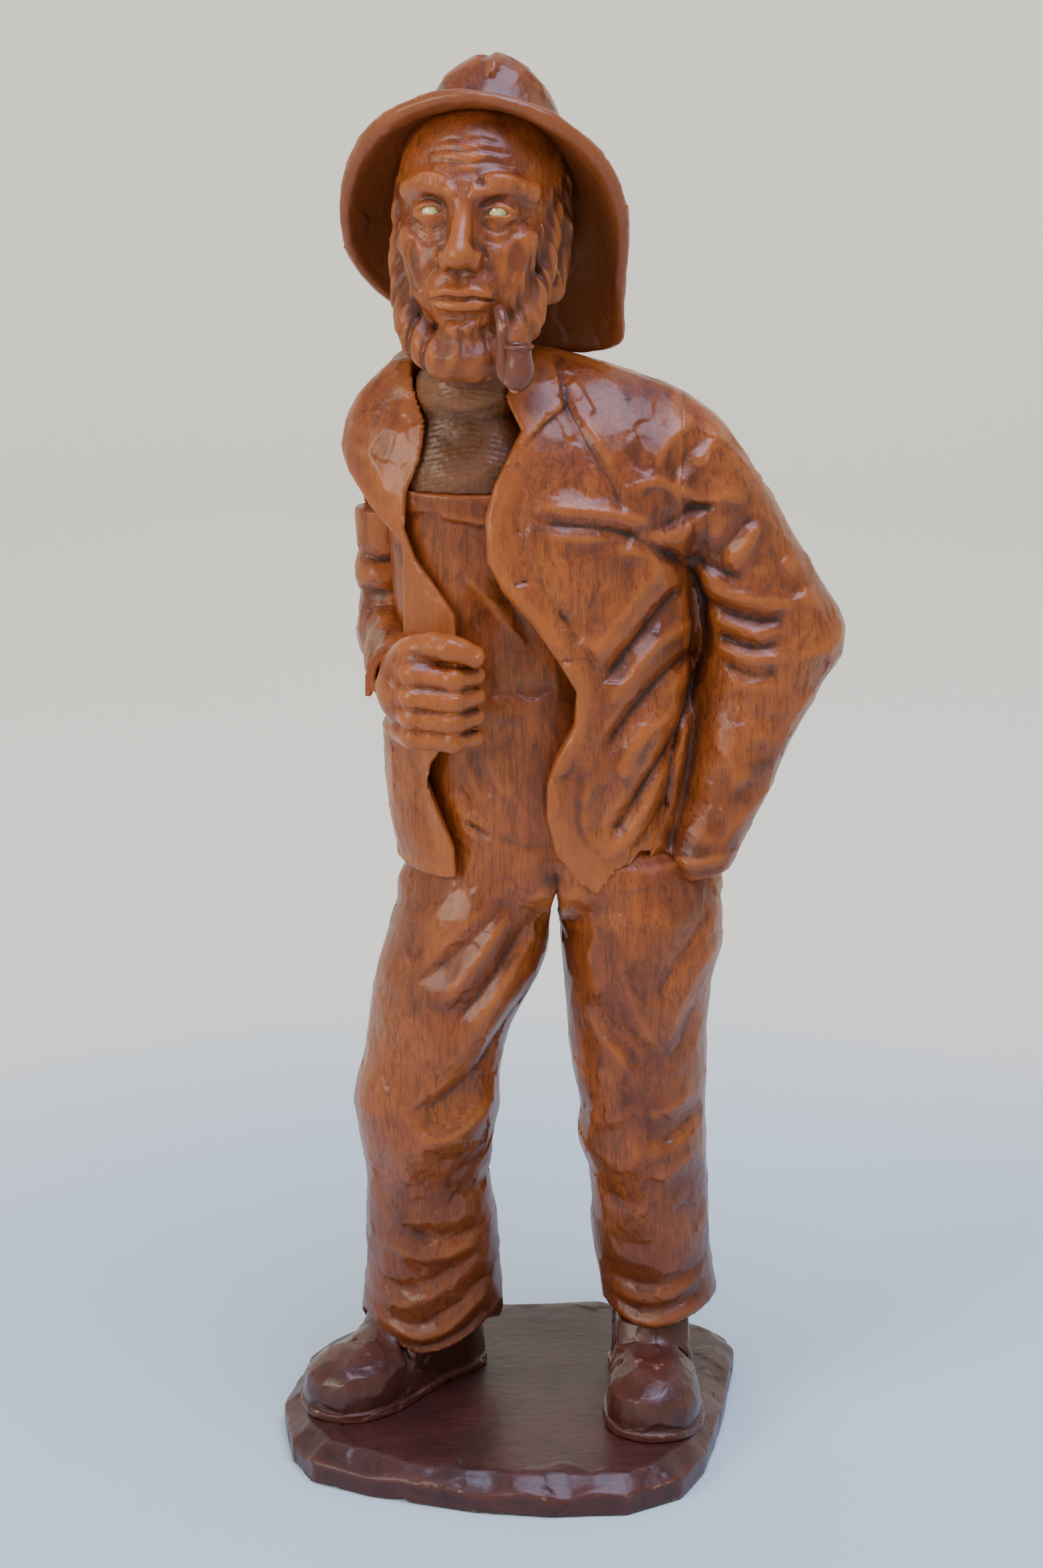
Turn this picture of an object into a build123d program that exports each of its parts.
from build123d import *
import os

# A carved wooden figurine of a seaman, built up from glued and dowelled blocks on a screwed-on plinth.
# Millimetres. Origin at the middle of the plinth's underside, +Z up, the figure faces -Y.
# "Right" and "left" are the figure's own: its right side is at -X.

# ---------------------------------------------------------------- driving dimensions
OVERALL_HEIGHT = 640.0
GLUE_GAP = 0.3              # clearance where carved, curved faces lie against each other
DOWEL_CLEARANCE = 0.15      # on the radius of every dowel and screw hole
DOWEL_END_ROOM = 1.0        # air for glue beyond each dowel's end

PLINTH_THICKNESS = 17.0
PLINTH_CHAMFER = 3.0
SCREW_RADIUS = 2.0
SCREW_HEAD_RADIUS = 4.0
SCREW_HEAD_HEIGHT = 2.5
SCREW_HEAD_RECESS = 1.0
SCREW_TIP = 34.0            # height of the screw tips above the plinth's underside

RIGHT_CUFF = 44.0           # height of the glue face between boot and trouser leg
LEFT_CUFF = 50.0
CROTCH = 259.0              # glue face between trouser legs and overalls
JACKET_HEM = 283.0
BIB_TOP = 457.0             # glue face between overalls and sweater
NECK_TOP = 503.0            # glue face between sweater and head
BACK_FACE = 22.0            # glue face (Y) between the jacket back and everything before it
LEFT_ARM_FACE = 76.0        # glue face (X) between jacket and left sleeve
RIGHT_ARM_TOP = 443.0       # glue face between right shoulder and sleeve
RIGHT_ARM_SIDE = -47.0      # the jacket stops here beside the right sleeve
RIGHT_SIDE_FACE = -38.0     # glue face (X) between the jacket's right front and the body
RIGHT_ARM_BOTTOM = 350.0    # the jacket's right side widens again below this
WRIST_FACE = -46.0          # glue face (Y) between right cuff and hand

HEAD_CENTRE = (-13, -8, 572)
HEAD_SIZE = (36, 44, 56)    # half width, half depth, half height
HEAD_TURN = 10.0            # degrees towards the figure's right
HEAD_LIFT = 8.0             # degrees, face upwards
EYE_RADIUS = 5.0
EYE_SPACING = 29.0
EYE_DEPTH = 33.5            # eye centres in front of the head's centre
EYE_RISE = 4.0

HAT_CENTRE = (-11, 4, 562)
HAT_SIZE = (63, 60, 72)
HAT_THICKNESS = 5.0
HAT_LINE_TILT = 21.5        # the seat of the crown on the head leans back by this
BRIM_TILT = 53.0            # the brim's edge rises steeply over the face and hangs down behind
CROWN_CENTRE = (-14, 12, 600)
CROWN_HALF_WIDTH = 33.0
CROWN_HALF_DEPTH = 34.0

PIPE_STEM_RADIUS = 2.3
PIPE_BOWL_RADIUS = 6.2
PIPE_BOWL_BORE = 4.0
PIPE_BOWL_BOTTOM = 516.0
PIPE_BOWL_TOP = 531.0

FINGER_RADIUS = 5.4
FINGER_PITCH = 9.3
FINGER_LENGTH = 36.0
LOWEST_FINGER = 359.0

# ---------------------------------------------------------------- carved forms
# Level sections: height, centre x, centre y, half width, half depth.
RIGHT_LEG = (
    (RIGHT_CUFF, -39, 20, 32, 34),
    (102, -38.5, 12, 29.5, 31),
    (155, -40.5, 4, 33, 34),
    (215, -27, 0, 35, 37),
    (CROTCH, -16, 0, 37, 40),
)
LEFT_LEG = (
    (LEFT_CUFF, 70, 13, 26, 30),
    (105, 65.5, 9, 28, 30),
    (160, 60.5, 4, 30, 33),
    (215, 58, 0, 33, 36),
    (CROTCH, 60.5, 0, 37, 40),
)
OVERALLS = (
    (CROTCH, 22, 0, 74, 41),
    (272, 23, 0, 73, 43),
    (292, 19, -1, 61, 43.5),
    (340, 8, -3, 50, 41),
    (400, -6, -2, 47, 37),
    (BIB_TOP, -15, 0, 41, 33),
)
CHEST = (
    (BIB_TOP, -15, 0, 41, 33),
    (474, -17, 1, 34, 29),
    (488, -19, 2, 21, 19.5),
)
ROLL_NECK = (
    (486, -19, 1, 20, 19),
    (495, -19, 0, 22, 20),
    (NECK_TOP, -19, 0, 19, 18),
)
JACKET = (
    (JACKET_HEM, 11, 2, 62, 47),
    (330, 12, 2, 70, 49),
    (400, 9, 4, 71, 50),
    (450, 10, 6, 83, 46),
    (480, 8, 8, 83, 40),
    (500, 2, 10, 67, 28),
    (508, -4, 10, 44, 18),
)
LEFT_SLEEVE = (
    (278, 86, -8, 14, 17),
    (310, 96, 0, 18, 21),
    (345, 105, 9, 24, 25),
    (380, 116, 15, 33, 27),
    (412, 105, 14, 33, 27),
    (445, 90, 10, 25, 26),
    (470, 76, 9, 25, 24),
    (490, 66, 9, 14, 14),
)
# The jacket stands open between these two edges (x, z), seen from the front.
JACKET_OPENING = (
    (-34, 520), (-36, 490), (-43, 462), (-40, 432), (-27, 400), (-34, 350), (-36, 318), (-24, 286),
    (-24, 270), (36, 270), (36, 280), (20, 296), (18, 320), (28, 362), (10, 390), (-7, 425),
    (-10, 450), (4, 484), (-4, 520),
)
# Boot sections above the plinth: rise, shift towards the toe, half length, half width.
BOOT_SOLE = ((0, 0, 50, 23), (6, 0, 53, 26))
BOOT_UPPER = ((6, -1, 49, 23), (17, -4, 45, 23), (25, -13, 35, 22))
PLINTH_OUTLINE = (
    (-108, -6), (-102, -44), (-91, -66), (-65, -80), (-18, -95), (17, -100), (53, -98), (78, -82),
    (90, -58), (97, -27), (103, 7), (110, 54), (104, 68), (47, 106), (-5, 100), (-62, 88), (-98, 50),
)

# ---------------------------------------------------------------- frames
BOOT_FRAMES = {
    "right_boot": Plane(origin=(-55, 4, PLINTH_THICKNESS), x_dir=(-0.69, -0.72, 0), z_dir=(0, 0, 1)),
    "left_boot": Plane(origin=(67, -7, PLINTH_THICKNESS), x_dir=(0, -1, 0), z_dir=(0, 0, 1)),
}
BOOT_TOPS = {"right_boot": RIGHT_CUFF, "left_boot": LEFT_CUFF}
HEAD_FRAME = Plane(HEAD_CENTRE).rotated((0, 0, -HEAD_TURN)).rotated((-HEAD_LIFT, 0, 0))
HAT_LINE = Plane((-13, -4, 590)).rotated((-HAT_LINE_TILT, 0, 0))
BRIM_PLANE = Plane(HAT_CENTRE).rotated((-BRIM_TILT, 0, 0))


def solid_through(sections, grow=0.0):
    """A solid through level ellipses, with every half width and half depth grown by the same amount."""
    with BuildPart() as body:
        for height, x, y, half_width, half_depth in sections:
            with BuildSketch(Plane.XY.offset(height)):
                with Locations((x, y)):
                    Ellipse(half_width + grow, half_depth + grow)
        loft()
    return body.part


def limb(start, end, radii, grow=0.0):
    """A round limb from start to end, its radii spread evenly along it."""
    axis = Vector(*end) - Vector(*start)
    with BuildPart() as body:
        for index, radius in enumerate(radii):
            centre = Vector(*start) + axis * (index / (len(radii) - 1))
            with BuildSketch(Plane(origin=centre, z_dir=axis)):
                Circle(radius + grow)
        loft()
    return body.part


def ball(centre, radius):
    """A ball at a point."""
    with BuildPart() as body:
        with Locations(centre):
            Sphere(radius)
    return body.part


def ellipsoid(frame, half_width, half_depth, half_height):
    """An ellipsoid on the axes of a plane."""
    with BuildPart() as body:
        Sphere(10)
        scale(by=(half_width / 10, half_depth / 10, half_height / 10))
    return frame * body.part


def pegs(places, extra_radius=0.0, extra_length=0.0):
    """Round pegs, each given by its middle, direction, length and radius."""
    with BuildPart() as group:
        for middle, direction, length, radius in places:
            with BuildSketch(Plane(origin=middle, z_dir=direction)):
                Circle(radius + extra_radius)
            extrude(amount=length / 2 + extra_length, both=True)
    return group.part


# ---------------------------------------------------------------- dowels and their holes
UP = (0, 0, 1)
DOWELS = {
    "ankle_dowels": (
        ((-39, 19, RIGHT_CUFF + 5), UP, 26, 5),
        ((68, 13, LEFT_CUFF + 2), UP, 26, 5),
    ),
    "hip_dowels": (
        ((-16, 0, CROTCH), UP, 44, 6),
        ((60, 0, CROTCH), UP, 44, 6),
    ),
    "chest_dowels": (
        ((-30, 0, BIB_TOP), UP, 30, 5),
        ((0, 0, BIB_TOP), UP, 30, 5),
    ),
    "back_dowels": (
        ((-12, BACK_FACE, 325), (0, 1, 0), 30, 5),
        ((34, BACK_FACE, 325), (0, 1, 0), 30, 5),
        ((-26, BACK_FACE, 420), (0, 1, 0), 24, 5),
        ((12, BACK_FACE, 420), (0, 1, 0), 24, 5),
    ),
    "shoulder_dowels": (
        ((-58, 12, RIGHT_ARM_TOP), UP, 34, 4),
        ((LEFT_ARM_FACE, 8, 464), (1, 0, 0), 26, 4),
        ((LEFT_ARM_FACE, 8, 440), (1, 0, 0), 26, 4),
    ),
    "wrist_dowel": (((-43.5, WRIST_FACE, 378), (0, 1, 0), 24, 3.5),),
    "neck_dowel": (((-18, 1, NECK_TOP), UP, 38, 6),),
    "hat_dowel": ((HAT_LINE.origin, HAT_LINE.z_dir, 36, 5),),
}
dowel_holes = {
    name: pegs(places, DOWEL_CLEARANCE, DOWEL_END_ROOM) for name, places in DOWELS.items()
}
pieces = {name: pegs(places) for name, places in DOWELS.items()}

# ---------------------------------------------------------------- plinth and its screws
screw_places = [
    frame.from_local_coords((along, 0, 0)) for frame in BOOT_FRAMES.values() for along in (-24, 20)
]


def screws(clearance=0.0, head_recess=SCREW_HEAD_RECESS):
    """Wood screws standing up through the plinth into both boots, or the holes for them."""
    head_top = SCREW_HEAD_RECESS + SCREW_HEAD_HEIGHT
    with BuildPart() as group:
        for place in screw_places:
            with BuildSketch(Plane.XY.offset(head_recess)):
                with Locations((place.X, place.Y)):
                    Circle(SCREW_HEAD_RADIUS + clearance)
            extrude(amount=head_top - head_recess)
            with BuildSketch(Plane.XY.offset(head_top)):
                with Locations((place.X, place.Y)):
                    Circle(SCREW_RADIUS + clearance)
            extrude(amount=SCREW_TIP + clearance - head_top)
    return group.part


screw_holes = screws(DOWEL_CLEARANCE, 0.0)
pieces["base_screws"] = screws()

with BuildPart() as base_plinth:
    with BuildSketch():
        with BuildLine():
            Polyline(*PLINTH_OUTLINE, close=True)
        make_face()
    extrude(amount=PLINTH_THICKNESS)
    chamfer(base_plinth.faces().sort_by(Axis.Z)[-1].edges(), length=PLINTH_CHAMFER)
    add(screw_holes, mode=Mode.SUBTRACT)
pieces["base_plinth"] = base_plinth.part

# ---------------------------------------------------------------- boots
for name, frame in BOOT_FRAMES.items():
    top_rise = BOOT_TOPS[name] - PLINTH_THICKNESS
    with BuildPart() as boot:
        for rise, shift, half_length, half_width in BOOT_SOLE:
            with BuildSketch(frame.offset(rise)):
                with Locations((shift, 0)):
                    Ellipse(half_length, half_width)
        loft()
        for rise, shift, half_length, half_width in BOOT_UPPER + ((top_rise, -21, 25, 23),):
            with BuildSketch(frame.offset(rise)):
                with Locations((shift, 0)):
                    Ellipse(half_length, half_width)
        loft()
        add(screw_holes, mode=Mode.SUBTRACT)
        add(dowel_holes["ankle_dowels"], mode=Mode.SUBTRACT)
    pieces[name] = boot.part

# ---------------------------------------------------------------- trouser legs
for name, sections in (("right_trouser_leg", RIGHT_LEG), ("left_trouser_leg", LEFT_LEG)):
    with BuildPart() as trouser_leg:
        add(solid_through(sections))
        add(dowel_holes["ankle_dowels"], mode=Mode.SUBTRACT)
        add(dowel_holes["hip_dowels"], mode=Mode.SUBTRACT)
    pieces[name] = trouser_leg.part

# ---------------------------------------------------------------- right arm's form
RIGHT_SHOULDER = (-56, 12, RIGHT_ARM_TOP)
RIGHT_ELBOW = (-55, 14, 384)
RIGHT_WRIST = (-48, WRIST_FACE, 378)


def right_sleeve_blank(grow=0.0):
    """Upper arm, elbow and forearm of the bent right arm."""
    with BuildPart() as sleeve:
        add(limb(RIGHT_SHOULDER, RIGHT_ELBOW, (13, 14, 13), grow))
        add(limb(RIGHT_ELBOW, RIGHT_WRIST, (13, 13, 11), grow))
        add(ball(RIGHT_ELBOW, 13.4 + grow))
        split(bisect_by=Plane.XY.offset(RIGHT_ARM_TOP), keep=Keep.BOTTOM)
        split(bisect_by=Plane.XZ.offset(-WRIST_FACE), keep=Keep.BOTTOM)
    return sleeve.part


right_sleeve_room = right_sleeve_blank(GLUE_GAP)

# ---------------------------------------------------------------- overalls and sweater


def trimmed(solid):
    """Cut flat where the jacket's back and right side are glued on, from the jacket's hem upwards."""
    with BuildPart() as body:
        add(solid)
        with BuildSketch(Plane.XY.offset(JACKET_HEM)):
            with Locations((0, BACK_FACE)):
                Rectangle(240, 60, align=(Align.CENTER, Align.MIN))
            with Locations((RIGHT_SIDE_FACE, 0)):
                Rectangle(60, 160, align=(Align.MAX, Align.CENTER))
        extrude(amount=OVERALL_HEIGHT - JACKET_HEM, mode=Mode.SUBTRACT)
    return body.part


body_room = trimmed(solid_through(OVERALLS, GLUE_GAP))
chest_room = trimmed(solid_through(CHEST, GLUE_GAP))
neck_room = solid_through(ROLL_NECK, GLUE_GAP)
head_room = solid_through(((NECK_TOP, -19, 0, 19, 18), (NECK_TOP + 12, -19, 0, 26, 26)), GLUE_GAP)

with BuildPart() as overalls_body:
    add(trimmed(solid_through(OVERALLS)))
    add(right_sleeve_room, mode=Mode.SUBTRACT)
    add(dowel_holes["hip_dowels"], mode=Mode.SUBTRACT)
    add(dowel_holes["chest_dowels"], mode=Mode.SUBTRACT)
    add(dowel_holes["back_dowels"], mode=Mode.SUBTRACT)
pieces["overalls_body"] = overalls_body.part

with BuildPart() as sweater_chest:
    add(trimmed(solid_through(CHEST)))
    add(solid_through(ROLL_NECK))
    add(dowel_holes["chest_dowels"], mode=Mode.SUBTRACT)
    add(dowel_holes["neck_dowel"], mode=Mode.SUBTRACT)
pieces["sweater_chest"] = sweater_chest.part

# ---------------------------------------------------------------- sleeves
with BuildPart() as right_sleeve:
    add(right_sleeve_blank())
    add(dowel_holes["shoulder_dowels"], mode=Mode.SUBTRACT)
    add(dowel_holes["wrist_dowel"], mode=Mode.SUBTRACT)
pieces["right_sleeve"] = right_sleeve.part

with BuildPart() as left_sleeve:
    add(solid_through(LEFT_SLEEVE))
    split(bisect_by=Plane.YZ.offset(LEFT_ARM_FACE), keep=Keep.TOP)
    add(body_room, mode=Mode.SUBTRACT)
    add(dowel_holes["shoulder_dowels"], mode=Mode.SUBTRACT)
pieces["left_sleeve"] = left_sleeve.part

# ---------------------------------------------------------------- jacket
with BuildPart() as jacket_blank:
    add(solid_through(JACKET))
    split(bisect_by=Plane.YZ.offset(LEFT_ARM_FACE), keep=Keep.BOTTOM)
    with BuildSketch(Plane.XZ.offset(100)):
        with Locations((RIGHT_ARM_SIDE, RIGHT_ARM_TOP)):
            Rectangle(60, RIGHT_ARM_TOP - RIGHT_ARM_BOTTOM, align=(Align.MAX, Align.MAX))
    extrude(amount=-200, mode=Mode.SUBTRACT)
    add(right_sleeve_room, mode=Mode.SUBTRACT)
    add(neck_room, mode=Mode.SUBTRACT)
    add(head_room, mode=Mode.SUBTRACT)
    add(dowel_holes["shoulder_dowels"], mode=Mode.SUBTRACT)
    add(dowel_holes["back_dowels"], mode=Mode.SUBTRACT)

with BuildPart() as jacket_back:
    add(jacket_blank.part)
    split(bisect_by=Plane.XZ.offset(-BACK_FACE), keep=Keep.BOTTOM)
pieces["jacket_back"] = jacket_back.part

with BuildPart() as jacket_front:
    add(jacket_blank.part)
    split(bisect_by=Plane.XZ.offset(-BACK_FACE), keep=Keep.TOP)
    add(body_room, mode=Mode.SUBTRACT)
    add(chest_room, mode=Mode.SUBTRACT)
    with BuildSketch(Plane.XZ.offset(100)):
        with BuildLine():
            Polyline(*JACKET_OPENING, close=True)
        make_face()
    extrude(amount=-100 - BACK_FACE, mode=Mode.SUBTRACT)

front_halves = sorted(jacket_front.part.solids(), key=lambda solid: solid.volume)[-2:]
right_half, left_half = sorted(front_halves, key=lambda solid: solid.center().X)

with BuildPart() as jacket_right_front:
    add(right_half)
pieces["jacket_right_front"] = jacket_right_front.part

with BuildPart() as jacket_left_front:
    add(left_half)
pieces["jacket_left_front"] = jacket_left_front.part

# ---------------------------------------------------------------- right hand, closed on the jacket's edge
with BuildPart() as right_hand:
    with Locations((-36, WRIST_FACE, 373)):
        Box(28, 16, 36, align=(Align.CENTER, Align.MAX, Align.CENTER))
    fillet(right_hand.edges().filter_by(Axis.Z), radius=5)
    for finger in range(4):
        height = LOWEST_FINGER + finger * FINGER_PITCH
        with BuildSketch(Plane.YZ.offset(-13 - FINGER_LENGTH)):
            with Locations((WRIST_FACE - 17, height)):
                Circle(FINGER_RADIUS)
        extrude(amount=FINGER_LENGTH)
    add(limb((-46, -54, 392), (-20, -62, 401), (6.5, 6.5, 5.5)))
    add(ball((-20, -62, 401), 5.6))
    split(bisect_by=Plane.XZ.offset(-WRIST_FACE), keep=Keep.TOP)
    add(dowel_holes["wrist_dowel"], mode=Mode.SUBTRACT)
pieces["right_hand"] = right_hand.part

# ---------------------------------------------------------------- pipe
STEM_ROUTE = ((-6, -47, 540), (-3, -62, 542), (0.5, -63.5, 530), (3, -64, 520))
BOWL_CENTRE = (7, -64)

with BuildPart() as pipe_stem:
    with BuildLine():
        FilletPolyline(*STEM_ROUTE, radius=4.5)
    with BuildSketch(Plane(origin=STEM_ROUTE[0], z_dir=Vector(*STEM_ROUTE[1]) - Vector(*STEM_ROUTE[0]))):
        Circle(PIPE_STEM_RADIUS)
    sweep()
pieces["pipe_stem"] = pipe_stem.part

with BuildPart() as pipe_bowl:
    with BuildSketch(Plane.XY.offset(PIPE_BOWL_BOTTOM)):
        with Locations(BOWL_CENTRE):
            Circle(PIPE_BOWL_RADIUS)
    extrude(amount=PIPE_BOWL_TOP - PIPE_BOWL_BOTTOM)
    fillet(pipe_bowl.edges().sort_by(Axis.Z)[0], radius=3)
    with BuildSketch(Plane.XY.offset(PIPE_BOWL_TOP)):
        with Locations(BOWL_CENTRE):
            Circle(PIPE_BOWL_BORE)
    extrude(amount=-8, mode=Mode.SUBTRACT)
    with BuildLine():
        FilletPolyline(*STEM_ROUTE, radius=4.5)
    with BuildSketch(Plane(origin=STEM_ROUTE[0], z_dir=Vector(*STEM_ROUTE[1]) - Vector(*STEM_ROUTE[0]))):
        Circle(PIPE_STEM_RADIUS + DOWEL_CLEARANCE)
    sweep(mode=Mode.SUBTRACT)
pieces["pipe_bowl"] = pipe_bowl.part

# ---------------------------------------------------------------- head and eyes
eye_balls = [
    ball(HEAD_FRAME.from_local_coords((side * EYE_SPACING / 2, -EYE_DEPTH, EYE_RISE)), EYE_RADIUS)
    for side in (-1, 1)
]
eye_sockets = [
    ball(HEAD_FRAME.from_local_coords((side * EYE_SPACING / 2, -EYE_DEPTH, EYE_RISE)), EYE_RADIUS + GLUE_GAP)
    for side in (-1, 1)
]
stem_room = pegs(((STEM_ROUTE[0], (0.2, -1, 0.1), 20, PIPE_STEM_RADIUS),), DOWEL_CLEARANCE)

with BuildPart() as head:
    add(ellipsoid(HEAD_FRAME, *HEAD_SIZE))
    with BuildSketch(Plane.XY.offset(NECK_TOP)):
        with Locations((-18, 1)):
            Circle(15)
    extrude(amount=30)
    with BuildSketch(HEAD_FRAME.offset(-EYE_RISE - 24)):
        with Locations((0, -HEAD_SIZE[1] + 1)):
            Ellipse(6, 7)
    extrude(amount=24, taper=10)
    split(bisect_by=HAT_LINE, keep=Keep.BOTTOM)
    for socket in eye_sockets:
        add(socket, mode=Mode.SUBTRACT)
    add(stem_room, mode=Mode.SUBTRACT)
    add(dowel_holes["neck_dowel"], mode=Mode.SUBTRACT)
    add(dowel_holes["hat_dowel"], mode=Mode.SUBTRACT)
pieces["head"] = head.part

for name, eye in zip(("right_glass_eye", "left_glass_eye"), eye_balls):
    with BuildPart() as glass_eye:
        add(eye)
    pieces[name] = glass_eye.part

# ---------------------------------------------------------------- hat
inner_size = [half - HAT_THICKNESS for half in HAT_SIZE]

with BuildPart() as hat_cavity:
    add(ellipsoid(Plane(HAT_CENTRE), *inner_size))
    split(bisect_by=HAT_LINE, keep=Keep.BOTTOM)

with BuildPart() as sou_wester_hat:
    add(ellipsoid(Plane(HAT_CENTRE), *HAT_SIZE))
    split(bisect_by=BRIM_PLANE, keep=Keep.TOP)
    crown_half_height = OVERALL_HEIGHT - CROWN_CENTRE[2]
    add(ellipsoid(Plane(CROWN_CENTRE), CROWN_HALF_WIDTH, CROWN_HALF_DEPTH, crown_half_height))
    add(hat_cavity.part, mode=Mode.SUBTRACT)
    add(dowel_holes["hat_dowel"], mode=Mode.SUBTRACT)
pieces["sou_wester_hat"] = sou_wester_hat.part

# ---------------------------------------------------------------- one file for each piece
os.makedirs("parts", exist_ok=True)
for name, piece in pieces.items():
    piece.label = name
    export_step(piece, f"parts/{name}.step")
